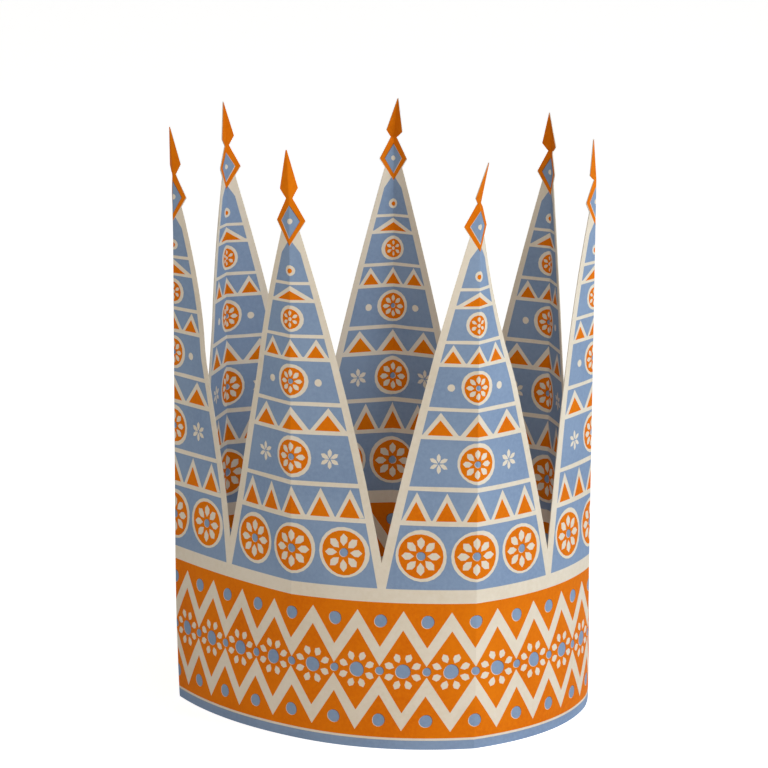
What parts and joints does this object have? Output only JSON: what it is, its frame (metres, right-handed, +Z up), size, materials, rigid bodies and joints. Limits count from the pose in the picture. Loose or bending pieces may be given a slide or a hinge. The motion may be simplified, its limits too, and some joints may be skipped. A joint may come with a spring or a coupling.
{
  "type": "paper crown",
  "caption": "Ring crown folded from a sheet of printed card, with tall creased spires above a plain band and a glued lap at the back.",
  "frame": {"origin": "middle of the ring, on the surface that the rim stands on", "axes": "+Z up through the ring, +Y from the front spires to the back, +X to the right as seen from the front"},
  "size_m": [0.19, 0.1878, 0.267],
  "materials": {
    "printed_card": "matt uncoated card, printed orange and blue on cream"
  },
  "bodies": {
    "root": {"crown_sheet": "printed_card"}
  },
  "joints": []
}
